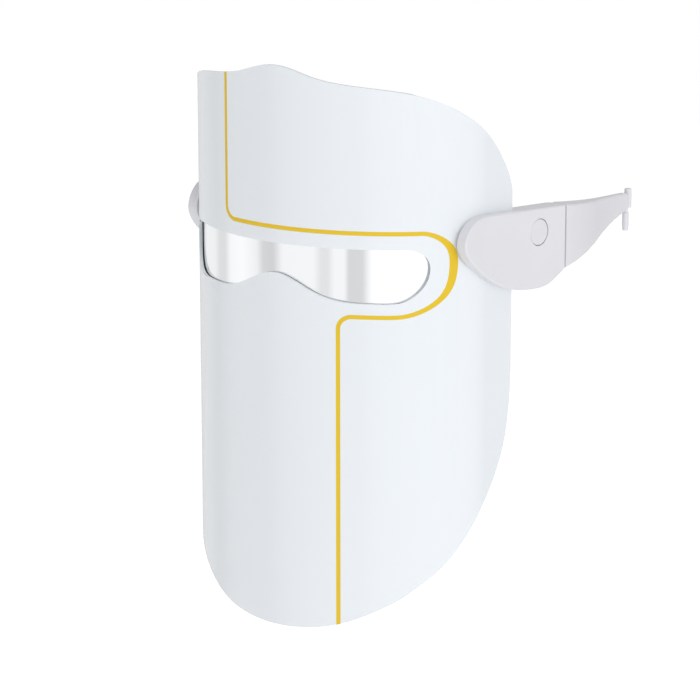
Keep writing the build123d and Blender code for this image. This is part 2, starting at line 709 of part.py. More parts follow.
with BuildPart() as nose_bracket:
    with BuildSketch(Plane.XY.offset(NOSE_STEM_Z[0])):
        add(nose_arch(yoke_inside, yoke_reach, NOSE_YOKE_LENGTH))
        with Locations((0, NOSE_RADIUS - yoke_inside)):
            Rectangle(NOSE_STEM_WIDTH, STAND_OFF, align=(Align.CENTER, Align.MAX))
        with Locations((0, front_y + skin_depth + NOSE_YOKE_WALL)):
            Rectangle(NOSE_FOOT_WIDTH, STAND_OFF, align=(Align.CENTER, Align.MAX))
    extrude(amount=NOSE_STEM_Z[1] - NOSE_STEM_Z[0])
    with BuildPart(mode=Mode.PRIVATE) as panel_room:
        add(wall_slab(skin_depth, STAND_OFF + NOSE_ARCH_WIDTH, start=-FRONT_ANGLE, end=FRONT_ANGLE))
    add(panel_room.part, mode=Mode.INTERSECT)

with BuildPart() as forehead_pad:
    add(
        wall_slab(
            skin_depth + SOFT_GAP,
            FOREHEAD_PAD_DEPTH,
            *FOREHEAD_PAD_Z,
            -FOREHEAD_PAD_TURN,
            FOREHEAD_PAD_TURN,
        )
    )

# ================================================================ temple housings

top_start = HOUSING_OUTLINE[0]


def housing_side(inset):
    """Side view of a temple housing, its edges set in by `inset`."""
    ahead = (top_start[0] - HINGE_RUN, top_start[1] - HINGE_TOP)
    with BuildSketch() as outline:
        with BuildLine():
            curve = draw_smooth(HOUSING_OUTLINE, (ahead, (1, HOUSING_END_SLOPE)), inset)
            rear = curve @ 0 - Vector(*ahead)
            Polyline(curve @ 0, rear, curve @ 1)
        make_face()
    return outline.sketch


with BuildSketch() as housing_outline:
    add(housing_side(0.0))

with BuildSketch() as housing_room:
    add(housing_side(HOUSING_WALL))
    with Locations((cavity_end, 0)):
        Rectangle(SPAN, SPAN, align=(Align.MIN, Align.CENTER), mode=Mode.SUBTRACT)

with BuildSketch() as nose_rib:
    add(housing_side(NOSE_RIB_SET))
    add(housing_side(NOSE_RIB_SET + HOUSING_WALL), mode=Mode.SUBTRACT)
    with Locations((NOSE_RIB_RUN, 0)):
        Rectangle(SPAN, SPAN, align=(Align.MIN, Align.CENTER), mode=Mode.SUBTRACT)

with BuildSketch() as port_outline:
    with Locations((PORT_RUN, port_depth)):
        RectangleRounded(PORT_WIDTH, PORT_THICKNESS, PORT_ROUND)

port_low = min(z for run, z in HOUSING_OUTLINE) + PORT_RECESS
port_high = port_low + PORT_LENGTH

with BuildPart() as shell_core:
    add(wall_slab(0, STAND_OFF, start=0, run=2 * HINGE_RUN))

with BuildPart() as shell_edge:
    add(wall_slab(0, SHELL_WALL, start=0, run=SIDE_RUN + EDGE_SLOT))

with BuildSketch() as fold_wedge:
    with BuildLine():
        left_limb = PolarLine((0, 0), 2 * HOUSING_DEPTH, 90 + FOLD_RELIEF)
        right_limb = PolarLine((0, 0), 2 * HOUSING_DEPTH, 90 - FOLD_RELIEF)
        Line(left_limb @ 1, right_limb @ 1)
    make_face()


def side_block(depth, thickness, runs, heights):
    """Block at the wearer's left temple, its outer face at `depth`."""
    with BuildPart() as block:
        with BuildSketch(side_face(depth)):
            with Locations((runs[0], heights[0])):
                Rectangle(runs[1] - runs[0], heights[1] - heights[0], align=Align.MIN)
        extrude(amount=-thickness)
    return block.part


def side_rod(near, far, radius, run, height):
    """Round rod at the wearer's left temple, square to the housing's face, between two depths."""
    with BuildPart() as rod:
        with BuildSketch(side_face(near)):
            with Locations((run, height)):
                Circle(radius)
        extrude(amount=near - far)
    return rod.part


def hinge_rod(radius, low, high):
    """Round rod on the left hinge axis."""
    with BuildPart() as rod:
        with BuildSketch(side_plan(low)):
            with Locations((HINGE_RUN, HINGE_DEPTH)):
                Circle(radius)
        extrude(amount=high - low)
    return rod.part


def right_hand(part):
    """Mirror image of a piece at the wearer's left."""
    with BuildPart() as twin:
        mirror(part, about=Plane.YZ)
    return twin.part


with BuildPart() as plain_cover:
    with BuildSketch(side_face(-COVER_RISE)):
        add(housing_outline.sketch)
        with Locations((housing_end, 0)):
            Rectangle(SPAN, SPAN, align=(Align.MIN, Align.CENTER), mode=Mode.SUBTRACT)
    extrude(amount=-(COVER_RISE + COVER_SKIRT))
    outer_face = plain_cover.faces().sort_by(Axis((0, 0, 0), outward))[-1]
    fillet(outer_face.edges(), HOUSING_ROUND)
    with BuildSketch(side_face(cover_inside)):
        add(housing_room.sketch)
    extrude(amount=-(COVER_RISE + HOUSING_DEPTH), mode=Mode.SUBTRACT)
    with BuildSketch(side_face(cover_inside)):
        add(nose_rib.sketch)
    extrude(amount=-(COVER_RISE + HOUSING_DEPTH))
    with BuildSketch(side_face(cover_inside)):
        with Locations(*HOUSING_SCREWS):
            Circle(HOUSING_BOSS_RADIUS)
    extrude(amount=cover_inside)
    with BuildSketch(side_face(0)):
        with Locations(*HOUSING_SCREWS):
            Circle(SCREW_RADIUS)
    extrude(amount=HOUSING_BITE, mode=Mode.SUBTRACT)
    add(shell_core.part, mode=Mode.SUBTRACT)

with BuildPart() as plain_base:
    with BuildSketch(side_face(HOUSING_DEPTH)):
        add(housing_outline.sketch)
        with Locations((housing_end, 0)):
            Rectangle(SPAN, SPAN, align=(Align.MIN, Align.CENTER), mode=Mode.SUBTRACT)
        with Locations((BASE_START, 0)):
            Rectangle(SPAN, SPAN, align=(Align.MAX, Align.CENTER), mode=Mode.SUBTRACT)
    extrude(amount=HOUSING_DEPTH)
    with BuildSketch(side_face(base_inside)):
        add(housing_room.sketch)
        with Locations((BASE_START + HOUSING_WALL, 0)):
            Rectangle(SPAN, SPAN, align=(Align.MAX, Align.CENTER), mode=Mode.SUBTRACT)
    extrude(amount=base_inside, mode=Mode.SUBTRACT)
    with BuildSketch(side_face(base_inside)):
        with Locations(*HOUSING_SCREWS):
            Circle(HOUSING_BOSS_RADIUS)
    extrude(amount=base_inside)
    with BuildSketch(side_face(HOUSING_DEPTH)):
        with Locations(*HOUSING_SCREWS):
            Circle(SCREW_RADIUS + SCREW_SLACK)
    extrude(amount=HOUSING_DEPTH, mode=Mode.SUBTRACT)
    with BuildSketch(side_face(HOUSING_DEPTH)):
        with Locations(*HOUSING_SCREWS):
            Circle(SCREW_HEAD_RADIUS + SCREW_SLACK)
    extrude(amount=SCREW_HEAD_HEIGHT, mode=Mode.SUBTRACT)
    add(shell_edge.part, mode=Mode.SUBTRACT)
    # way in for the lead
    with BuildSketch(side_plan(LEAD_Z[0] - LEAD_SLACK)):
        with Locations((BASE_START, SHELL_WALL)):
            Rectangle(
                2 * HOUSING_WALL,
                lead_depth + LEAD_THICKNESS + LEAD_SLACK - SHELL_WALL,
                align=(Align.CENTER, Align.MIN),
            )
    extrude(amount=LEAD_Z[1] - LEAD_Z[0] + 2 * LEAD_SLACK, mode=Mode.SUBTRACT)
    # room for the arm to fold, and for its knuckles
    with BuildSketch(side_plan(-SPAN)):
        with Locations((HINGE_RUN, HINGE_DEPTH)):
            add(fold_wedge.sketch)
    extrude(amount=2 * SPAN, mode=Mode.SUBTRACT)
    add(hinge_rod(KNUCKLE_RADIUS, *KNUCKLE_Z))
    for low, high in ((-SPAN, KNUCKLE_Z[0]), (KNUCKLE_Z[1], KNUCKLE_TOP + KNUCKLE_SLACK)):
        add(hinge_rod(KNUCKLE_RADIUS + KNUCKLE_SLACK, low, high), mode=Mode.SUBTRACT)
    add(hinge_rod(PIN_RADIUS + PIN_GAP, *KNUCKLE_Z), mode=Mode.SUBTRACT)

with BuildPart() as left_temple_cover:
    add(plain_cover.part)
    add(
        side_rod(-COVER_RISE, cover_inside, BUTTON_RADIUS + BUTTON_GAP, BUTTON_RUN, BUTTON_Z),
        mode=Mode.SUBTRACT,
    )

with BuildPart() as left_temple_base:
    add(plain_base.part)
    for run, height in CONTROL_POSTS:
        add(side_rod(lead_depth, base_inside, POST_RADIUS, run, height))

with BuildPart() as port_slot:
    with BuildSketch(side_plan(-SPAN)):
        offset(port_outline.sketch, amount=PORT_GAP)
    extrude(amount=SPAN + port_low + HOUSING_WALL)

with BuildPart() as right_temple_cover:
    with BuildPart(mode=Mode.PRIVATE) as slotted_cover:
        add(plain_cover.part)
        add(port_slot.part, mode=Mode.SUBTRACT)
    mirror(slotted_cover.part, about=Plane.YZ)

with BuildPart() as right_temple_base:
    with BuildPart(mode=Mode.PRIVATE) as slotted_base:
        add(plain_base.part)
        add(port_slot.part, mode=Mode.SUBTRACT)
    mirror(slotted_base.part, about=Plane.YZ)

with BuildPart() as left_housing_screws:
    for run, height in HOUSING_SCREWS:
        head_depth = HOUSING_DEPTH - SCREW_HEAD_HEIGHT
        add(side_rod(head_depth, HOUSING_DEPTH, SCREW_HEAD_RADIUS, run, height))
        add(side_rod(-HOUSING_BITE, head_depth, SCREW_RADIUS, run, height))

# ================================================================ power button and its board

switch_depth = CONTROL_BOARD_DEPTH - SWITCH_HEIGHT
plunger_top = switch_depth - BUTTON_TRAVEL - PLUNGER_GAP
plunger_end = CONTROL_BOARD_DEPTH - BUTTON_TRAVEL - PLUNGER_GAP
flange_depth = cover_inside + BUTTON_FLANGE_GAP
flange_end = flange_depth + BUTTON_FLANGE_THICKNESS

with BuildPart() as power_button:
    add(side_rod(BUTTON_SET - COVER_RISE, flange_depth, BUTTON_RADIUS, BUTTON_RUN, BUTTON_Z))
    cap_face = power_button.faces().sort_by(Axis((0, 0, 0), outward))[-1]
    fillet(cap_face.edges(), BUTTON_ROUND)
    add(side_rod(flange_depth, flange_end, BUTTON_RADIUS + BUTTON_FLANGE, BUTTON_RUN, BUTTON_Z))
    add(side_rod(flange_end, plunger_top, BUTTON_STEM_RADIUS, BUTTON_RUN, BUTTON_Z))

with BuildPart() as switch_plunger:
    add(side_rod(plunger_top, plunger_end, PLUNGER_RADIUS, BUTTON_RUN, BUTTON_Z))

with BuildPart() as tact_switch:
    half = SWITCH_SIZE / 2
    add(
        side_block(
            switch_depth,
            SWITCH_HEIGHT,
            (BUTTON_RUN - half, BUTTON_RUN + half),
            (BUTTON_Z - half, BUTTON_Z + half),
        )
    )
    add(
        side_rod(
            switch_depth, CONTROL_BOARD_DEPTH, PLUNGER_RADIUS + PLUNGER_GAP, BUTTON_RUN, BUTTON_Z
        ),
        mode=Mode.SUBTRACT,
    )

with BuildPart() as control_board:
    add(side_block(CONTROL_BOARD_DEPTH, CONTROL_BOARD_THICKNESS, CONTROL_BOARD_RUN, CONTROL_BOARD_Z))

with BuildPart() as control_chips:
    for run, height, side in CHIPS:
        add(
            side_block(
                lead_depth,
                CHIP_HEIGHT,
                (run - side / 2, run + side / 2),
                (height - side / 2, height + side / 2),
            )
        )

# ================================================================ battery, charging socket, leads

with BuildPart() as battery_cell:
    add(side_block(base_inside - BATTERY_THICKNESS, BATTERY_THICKNESS, BATTERY_RUN, BATTERY_Z))
    fillet(battery_cell.edges().filter_by(Axis((0, 0, 0), outward)), BATTERY_ROUND)

with BuildPart() as charge_board:
    add(side_block(charge_board_depth, CHARGE_BOARD_THICKNESS, CHARGE_BOARD_RUN, CHARGE_BOARD_Z))

with BuildPart() as charge_port:
    with BuildSketch(side_plan(port_low)):
        add(port_outline.sketch)
    extrude(amount=PORT_LENGTH)
    with BuildSketch(side_plan(port_low)):
        offset(port_outline.sketch, amount=-PORT_WALL)
    extrude(amount=PORT_LENGTH - PORT_BACK, mode=Mode.SUBTRACT)

with BuildPart() as port_tongue:
    with BuildSketch(side_plan(port_high - PORT_BACK)):
        with Locations((PORT_RUN, port_depth)):
            Rectangle(TONGUE_WIDTH, TONGUE_THICKNESS)
    extrude(amount=-TONGUE_LENGTH)


def panel_lead(last_run):
    """Flat lead along the left side, from the light panel back to `last_run`."""
    return wall_slab(
        lead_depth,
        lead_depth + LEAD_THICKNESS,
        *LEAD_Z,
        LEAD_ANGLE,
        SIDE_ANGLE,
        last_run,
    )


with BuildPart() as control_lead:
    add(panel_lead(CONTROL_BOARD_RUN[0] + LEAD_LAP))

with BuildPart() as battery_lead:
    mirror(panel_lead(BATTERY_RUN[0]), about=Plane.YZ)

# ================================================================ folding arm and strap hook


def arm_step(start, turn, along, inward):
    """Point reached from `start` by going along a heading and then inward from it, in side plan."""
    x = start[0] + along * cos(radians(turn)) - inward * sin(radians(turn))
    y = start[1] + along * sin(radians(turn)) + inward * cos(radians(turn))
    return (x, y)


tip_turn = ARM_BEND - ARM_RETURN
bend_centre = (arm_start, ARM_BEND_RADIUS - COVER_RISE)
bend_end = arm_step(bend_centre, ARM_BEND, 0, -ARM_BEND_RADIUS)
return_centre = arm_step(bend_end, ARM_BEND, 0, -ARM_RETURN_RADIUS)
return_end = arm_step(return_centre, tip_turn, 0, ARM_RETURN_RADIUS)
arm_end = arm_step(return_end, tip_turn, ARM_TIP_RUN, 0)
hook_origin = arm_step(arm_end, tip_turn, 0, ARM_TIP_THICKNESS / 2)


def hook_plan(height):
    """Level plane at the left arm's end: x runs on along the arm, y is inward."""
    start = side_plan(height)
    turn = radians(SIDE_ANGLE + tip_turn)
    return Plane(
        origin=start.from_local_coords((*hook_origin, 0)),
        x_dir=(cos(turn), sin(turn), 0),
        z_dir=(0, 0, 1),
    )


arm_knuckles = (
    (PIN_Z[0], KNUCKLE_Z[0] - WASHER_THICKNESS - WASHER_SLACK),
    (KNUCKLE_Z[1] + WASHER_THICKNESS + WASHER_SLACK, KNUCKLE_TOP),
)

with BuildPart() as left_temple_arm:
    with BuildSketch(side_plan(-SPAN)):
        with BuildLine():
            bend = JernArc((arm_start, -COVER_RISE), (1, 0), ARM_BEND_RADIUS, ARM_BEND)
            back = JernArc(bend @ 1, bend % 1, ARM_RETURN_RADIUS, -ARM_RETURN)
            inside = Spline(
                (arm_start, HOUSING_DEPTH),
                arm_step(bend_end, ARM_BEND, 0, ARM_MIDDLE_THICKNESS),
                arm_step(arm_end, tip_turn, 0, ARM_TIP_THICKNESS),
                tangents=((1, 0), arm_step((0, 0), tip_turn, 1, 0)),
            )
            Polyline(back @ 1, arm_end, inside @ 1)
            Line(inside @ 0, bend @ 0)
        make_face()
    extrude(amount=2 * SPAN)
    with BuildSketch(side_face(-SPAN)):
        with BuildLine():
            top = Spline(*ARM_TOP)
            low = Spline(*ARM_LOW)
            Line(top @ 0, low @ 0)
            Line(top @ 1, low @ 1)
        make_face()
    extrude(amount=-2 * SPAN, mode=Mode.INTERSECT)
    outer_faces = left_temple_arm.faces().filter_by(GeomType.CYLINDER)
    long_edges = outer_faces.edges().filter_by(lambda edge: abs((edge % 0.5).Z) < 0.5)
    fillet(long_edges, ARM_ROUND)
    with BuildSketch(side_plan(-SPAN)):
        with Locations((HINGE_RUN, HINGE_DEPTH)):
            add(fold_wedge.sketch)
    extrude(amount=2 * SPAN, mode=Mode.SUBTRACT)
    add(
        hinge_rod(KNUCKLE_RADIUS + KNUCKLE_SLACK, arm_knuckles[0][1], arm_knuckles[1][0]),
        mode=Mode.SUBTRACT,
    )
    for low, high in arm_knuckles:
        add(hinge_rod(KNUCKLE_RADIUS, low, high))
    add(hinge_rod(PIN_RADIUS, -SPAN, PIN_Z[1]), mode=Mode.SUBTRACT)
    with BuildSketch(hook_plan(TENON_Z[0] - HOOK_GAP)):
        Rectangle(
            TENON_LENGTH + HOOK_GAP,
            TENON_THICKNESS + 2 * HOOK_GAP,
            align=(Align.MAX, Align.CENTER),
        )
    extrude(amount=TENON_Z[1] - TENON_Z[0] + 2 * HOOK_GAP, mode=Mode.SUBTRACT)

with BuildPart() as left_hinge_pin:
    add(hinge_rod(PIN_RADIUS, *PIN_Z))
    chamfer(left_hinge_pin.edges(), PIN_CHAMFER)

with BuildPart() as left_hinge_washers:
    for low in (KNUCKLE_Z[0] - WASHER_THICKNESS, KNUCKLE_Z[1]):
        add(hinge_rod(KNUCKLE_RADIUS, low, low + WASHER_THICKNESS))
    add(hinge_rod(PIN_RADIUS + PIN_GAP, *PIN_Z), mode=Mode.SUBTRACT)

with BuildPart() as left_strap_hook:
    with BuildSketch(hook_plan(HOOK_BLOCK_Z[0])):
        with Locations((HOOK_SET + HOOK_STEP, 0)):
            Circle(HOOK_BLOCK_RADIUS)
    extrude(amount=HOOK_BLOCK_Z[1] - HOOK_BLOCK_Z[0])
    fillet(left_strap_hook.edges().group_by(Axis.Z)[-1], HOOK_ROUND)
    with BuildSketch(hook_plan(HOOK_PEG_Z[1])):
        Rectangle(HOOK_SET + HOOK_STEP, BRIDGE_WIDTH, align=(Align.MIN, Align.CENTER))
    extrude(amount=BRIDGE_TOP - HOOK_PEG_Z[1])
    with BuildSketch(hook_plan(HOOK_PEG_Z[0] + HOOK_TAPER)):
        with Locations((HOOK_SET, 0)):
            Circle(HOOK_PEG_RADIUS)
    extrude(amount=HOOK_NECK_Z - HOOK_PEG_Z[0] - HOOK_TAPER)
    with BuildSketch(hook_plan(HOOK_NECK_Z)):
        with Locations((HOOK_SET, 0)):
            Circle(HOOK_NECK_RADIUS)
    extrude(amount=HOOK_PEG_Z[1] - HOOK_NECK_Z)
    with BuildSketch(hook_plan(HOOK_PEG_Z[0] + HOOK_TAPER)) as peg_root:
        with Locations((HOOK_SET, 0)):
            Circle(HOOK_PEG_RADIUS)
    with BuildSketch(hook_plan(HOOK_PEG_Z[0])) as peg_end:
        with Locations((HOOK_SET, 0)):
            Circle(HOOK_PEG_END_RADIUS)
    loft([peg_root.sketch, peg_end.sketch])
    with BuildSketch(hook_plan(TENON_Z[0])):
        Rectangle(TENON_LENGTH, TENON_THICKNESS, align=(Align.MAX, Align.CENTER))
    extrude(amount=TENON_Z[1] - TENON_Z[0])

# ================================================================ the pieces

pieces.update(
    {
        "front_shell": front_shell.part,
        "accent_stripe": accent_stripe.part,
        "visor_gasket": visor_gasket.part,
        "eye_visor": eye_visor.part,
        "light_panel": light_panel.part,
        "panel_screws": panel_screws.part,
        "left_panel_ribbon": left_panel_ribbon.part,
        "right_panel_ribbon": right_hand(left_panel_ribbon.part),
        "left_chin_ribbon": left_chin_ribbon.part,
        "right_chin_ribbon": right_hand(left_chin_ribbon.part),
        "left_lead_socket": left_lead_socket.part,
        "right_lead_socket": right_hand(left_lead_socket.part),
        "control_lead": control_lead.part,
        "battery_lead": battery_lead.part,
        "eye_seal": eye_seal.part,
        "nose_bracket": nose_bracket.part,
        "nose_pad": nose_pad.part,
        "forehead_pad": forehead_pad.part,
        "left_temple_cover": left_temple_cover.part,
        "right_temple_cover": right_temple_cover.part,
        "left_temple_base": left_temple_base.part,
        "right_temple_base": right_temple_base.part,
        "left_housing_screws": left_housing_screws.part,
        "right_housing_screws": right_hand(left_housing_screws.part),
        "power_button": power_button.part,
        "switch_plunger": switch_plunger.part,
        "tact_switch": tact_switch.part,
        "control_board": control_board.part,
        "control_chips": control_chips.part,
        "battery_cell": right_hand(battery_cell.part),
        "charge_board": right_hand(charge_board.part),
        "charge_port": right_hand(charge_port.part),
        "port_tongue": right_hand(port_tongue.part),
        "left_temple_arm": left_temple_arm.part,
        "right_temple_arm": right_hand(left_temple_arm.part),
        "left_hinge_pin": left_hinge_pin.part,
        "right_hinge_pin": right_hand(left_hinge_pin.part),
        "left_hinge_washers": left_hinge_washers.part,
        "right_hinge_washers": right_hand(left_hinge_washers.part),
        "left_strap_hook": left_strap_hook.part,
        "right_strap_hook": right_hand(left_strap_hook.part),
    }
)

os.makedirs("parts", exist_ok=True)
for name, part in pieces.items():
    part.label = name
    export_step(part, f"parts/{name}.step")
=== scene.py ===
import json
from math import atan2, cos, pi, radians, sin

import bmesh
import bpy
import numpy as np
from mathutils import Matrix, Vector


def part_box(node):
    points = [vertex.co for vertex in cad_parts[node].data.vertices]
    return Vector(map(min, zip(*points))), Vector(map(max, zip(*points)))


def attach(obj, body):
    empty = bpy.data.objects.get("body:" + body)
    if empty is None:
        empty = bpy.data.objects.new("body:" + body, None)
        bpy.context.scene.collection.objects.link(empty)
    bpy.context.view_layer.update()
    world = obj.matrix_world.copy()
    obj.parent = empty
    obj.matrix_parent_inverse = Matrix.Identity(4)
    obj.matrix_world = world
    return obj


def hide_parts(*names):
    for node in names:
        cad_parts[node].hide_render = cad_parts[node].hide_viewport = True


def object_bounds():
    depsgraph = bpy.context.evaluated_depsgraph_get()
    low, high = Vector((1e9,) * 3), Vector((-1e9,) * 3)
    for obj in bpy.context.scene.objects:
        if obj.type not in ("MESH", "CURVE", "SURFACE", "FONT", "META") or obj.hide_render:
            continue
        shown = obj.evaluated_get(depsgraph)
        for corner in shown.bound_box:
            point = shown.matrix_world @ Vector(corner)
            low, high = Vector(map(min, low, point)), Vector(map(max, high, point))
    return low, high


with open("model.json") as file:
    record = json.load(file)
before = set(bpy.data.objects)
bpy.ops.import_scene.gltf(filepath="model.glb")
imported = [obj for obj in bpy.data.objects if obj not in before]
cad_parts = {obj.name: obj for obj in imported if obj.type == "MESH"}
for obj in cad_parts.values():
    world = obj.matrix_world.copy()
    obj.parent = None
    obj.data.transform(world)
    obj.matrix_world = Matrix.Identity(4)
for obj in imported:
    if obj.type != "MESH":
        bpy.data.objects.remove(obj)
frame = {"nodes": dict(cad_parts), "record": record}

nodes = frame["nodes"]
cad_box = [list(corner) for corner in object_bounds()]
scene = bpy.context.scene

# Sizes shared with the CAD part, in metres.
FACE_CENTRE = Vector((0.0, 0.049, 0.0))   # centre of the front wall's curve in plan
FACE_RADIUS = 0.085
CHIP_SIZE = (0.0035, 0.0028, 0.0008)      # a light chip's length, width and height
LENS_RADIUS = 0.0031
LENS_FLAT = 0.0014                        # top of the lens's straight barrel
LENS_RISE = 0.0006
LENS_SET = 0.00045                        # from a chip's back to its lens's own zero
SCREW_HEAD_RADIUS = 0.0019
SCREW_HEAD_HEIGHT = 0.0009
SCREW_SHAFT_RADIUS = 0.001
PANEL_SCREW_LENGTH = 0.0059
HOUSING_SCREW_LENGTH = 0.0066

WELD = 1e-6     # corners nearer than this are one corner


# ---------------------------------------------------------------- materials

MIX_FACTOR, MIX_FIRST, MIX_SECOND, MIX_RESULT = 0, 6, 7, 2   # a colour Mix node's sockets


def colour_mix(tree):
    """A Mix node for colours."""
    mix = tree.nodes.new("ShaderNodeMix")
    mix.data_type = "RGBA"
    return mix


def surface(name, colour, rough, **more):
    """A procedural finish: drifting colour, uneven gloss, fine grain and lightly worn edges."""
    kind = dict(
        metallic=0.0, coat=0.0, drift=0.03, drift_scale=40.0, rough_drift=0.06,
        grain=0.0003, grain_scale=2500.0, wear=0.12, wear_colour=None,
        transmission=0.0, ior=1.5, subsurface=0.0, specular=0.5, coat_rough=0.08,
    )
    kind.update(more)
    material = bpy.data.materials.new(name)
    material.use_nodes = True
    tree = material.node_tree
    shader = tree.nodes["Principled BSDF"]
    link = tree.links.new

    place = tree.nodes.new("ShaderNodeTexCoord")
    drift = tree.nodes.new("ShaderNodeTexNoise")
    drift.inputs["Scale"].default_value = kind["drift_scale"]
    drift.inputs["Detail"].default_value = 4.0
    link(place.outputs["Object"], drift.inputs["Vector"])

    darker = [part * (1 - kind["drift"]) for part in colour]
    lighter = [min(1.0, part * (1 + kind["drift"])) for part in colour]
    mix = colour_mix(tree)
    mix.inputs[MIX_FIRST].default_value = (*darker, 1)
    mix.inputs[MIX_SECOND].default_value = (*lighter, 1)
    link(drift.outputs["Fac"], mix.inputs[MIX_FACTOR])

    shape = tree.nodes.new("ShaderNodeNewGeometry")
    edge = tree.nodes.new("ShaderNodeMapRange")
    edge.inputs["From Min"].default_value = 0.52
    edge.inputs["From Max"].default_value = 0.62
    edge.inputs["To Max"].default_value = kind["wear"]
    link(shape.outputs["Pointiness"], edge.inputs["Value"])
    worn_colour = kind["wear_colour"] or [min(1.0, part * 1.25) for part in colour]
    worn = colour_mix(tree)
    worn.inputs[MIX_SECOND].default_value = (*worn_colour, 1)
    link(edge.outputs["Result"], worn.inputs[MIX_FACTOR])
    link(mix.outputs[MIX_RESULT], worn.inputs[MIX_FIRST])
    link(worn.outputs[MIX_RESULT], shader.inputs["Base Color"])

    patch = tree.nodes.new("ShaderNodeTexNoise")
    patch.inputs["Scale"].default_value = kind["drift_scale"] * 3
    link(place.outputs["Object"], patch.inputs["Vector"])
    gloss = tree.nodes.new("ShaderNodeMapRange")
    gloss.inputs["To Min"].default_value = max(0.0, rough - kind["rough_drift"] / 2)
    gloss.inputs["To Max"].default_value = min(1.0, rough + kind["rough_drift"] / 2)
    link(patch.outputs["Fac"], gloss.inputs["Value"])
    link(gloss.outputs["Result"], shader.inputs["Roughness"])

    if kind["grain"]:
        grain = tree.nodes.new("ShaderNodeTexNoise")
        grain.inputs["Scale"].default_value = kind["grain_scale"]
        grain.inputs["Detail"].default_value = 3.0
        link(place.outputs["Object"], grain.inputs["Vector"])
        bump = tree.nodes.new("ShaderNodeBump")
        bump.inputs["Distance"].default_value = kind["grain"]
        bump.inputs["Strength"].default_value = 0.25
        link(grain.outputs["Fac"], bump.inputs["Height"])
        link(bump.outputs["Normal"], shader.inputs["Normal"])

    shader.inputs["Metallic"].default_value = kind["metallic"]
    shader.inputs["Coat Weight"].default_value = kind["coat"]
    shader.inputs["Coat Roughness"].default_value = kind["coat_rough"]
    shader.inputs["Transmission Weight"].default_value = kind["transmission"]
    shader.inputs["IOR"].default_value = kind["ior"]
    shader.inputs["Subsurface Weight"].default_value = kind["subsurface"]
    shader.inputs["Subsurface Scale"].default_value = 0.002
    shader.inputs["Specular IOR Level"].default_value = kind["specular"]
    return material


def board_surface(name, mask, track):
    """Solder mask over a grid of copper tracks."""
    material = surface(
        name, mask, 0.32, coat=0.3, grain=0.0001, wear=0.25, wear_colour=(0.55, 0.5, 0.3)
    )
    tree = material.node_tree
    shader = tree.nodes["Principled BSDF"]
    place = tree.nodes.new("ShaderNodeTexCoord")
    brick = tree.nodes.new("ShaderNodeTexBrick")
    brick.inputs["Scale"].default_value = 180.0
    brick.inputs["Mortar Size"].default_value = 0.06
    brick.inputs["Color1"].default_value = (0, 0, 0, 1)
    brick.inputs["Color2"].default_value = (0, 0, 0, 1)
    brick.inputs["Mortar"].default_value = (1, 1, 1, 1)
    turn = tree.nodes.new("ShaderNodeMapping")
    turn.inputs["Rotation"].default_value = (radians(90), 0, 0)
    tree.links.new(place.outputs["Object"], turn.inputs["Vector"])
    tree.links.new(turn.outputs["Vector"], brick.inputs["Vector"])
    mix = colour_mix(tree)
    mix.inputs[MIX_SECOND].default_value = (*track, 1)
    tree.links.new(brick.outputs["Color"], mix.inputs[MIX_FACTOR])
    tree.links.new(shader.inputs["Base Color"].links[0].from_socket, mix.inputs[MIX_FIRST])
    tree.links.new(mix.outputs[MIX_RESULT], shader.inputs["Base Color"])
    return material


# One finish for each material slot of the record, and two for parts of the light chips.
finish = {
    "shell_pearl": surface(
        "shell_pearl", (0.80, 0.84, 0.88), 0.24, coat=0.8, coat_rough=0.12, drift=0.008,
        drift_scale=12, grain=0.00004, grain_scale=900, wear=0.1, specular=0.4,
    ),
    "accent_gold": surface(
        "accent_gold", (0.78, 0.535, 0.026), 0.4, drift=0.03, drift_scale=90, grain=0.00005,
        wear=0.05, specular=0.2,
    ),
    "mirror_visor": surface(
        "mirror_visor", (0.93, 0.94, 0.95), 0.03, metallic=1.0, drift=0.006, rough_drift=0.015,
        grain=0.0, wear=0.02,
    ),
    "dark_rubber": surface("dark_rubber", (0.055, 0.055, 0.058), 0.7, grain=0.0002, wear=0.05),
    "panel_white": surface(
        "panel_white", (0.74, 0.75, 0.76), 0.45, drift=0.015, grain=0.00025, grain_scale=1600,
        wear=0.15,
    ),
    "soft_silicone": surface(
        "soft_silicone", (0.60, 0.62, 0.65), 0.55, drift=0.03, grain=0.0002, grain_scale=1200,
        subsurface=0.25, wear=0.1,
    ),
    "housing_grey": surface(
        "housing_grey", (0.745, 0.747, 0.785), 0.34, drift=0.012, drift_scale=60, grain=0.00012,
        grain_scale=2200, wear=0.10,
    ),
    "screw_steel": surface(
        "screw_steel", (0.52, 0.52, 0.53), 0.28, metallic=1.0, drift=0.06, rough_drift=0.14,
        grain=0.00005, wear=0.4, wear_colour=(0.8, 0.8, 0.8),
    ),
    "flex_amber": surface(
        "flex_amber", (0.42, 0.17, 0.02), 0.3, coat=0.5, drift=0.1, drift_scale=200, grain=0.00005
    ),
    "black_plastic": surface(
        "black_plastic", (0.018, 0.018, 0.02), 0.42, drift=0.1, grain=0.00015, wear=0.2,
        wear_colour=(0.12, 0.12, 0.12),
    ),
    "board_green": board_surface("board_green", (0.012, 0.11, 0.04), (0.05, 0.22, 0.09)),
    "foil_silver": surface(
        "foil_silver", (0.62, 0.63, 0.65), 0.3, metallic=0.9, drift=0.05, drift_scale=120,
        grain=0.0006, grain_scale=700, wear=0.2,
    ),
    "board_white": board_surface("board_white", (0.66, 0.67, 0.65), (0.52, 0.53, 0.5)),
    "led_body": surface("led_body", (0.78, 0.77, 0.70), 0.4, drift=0.03, grain=0.00005, wear=0.1),
    "clear_lens": surface(
        "clear_lens", (0.93, 0.95, 0.97), 0.06, transmission=0.9, ior=1.46, drift=0.01, grain=0.0,
        rough_drift=0.03, wear=0.05,
    ),
}
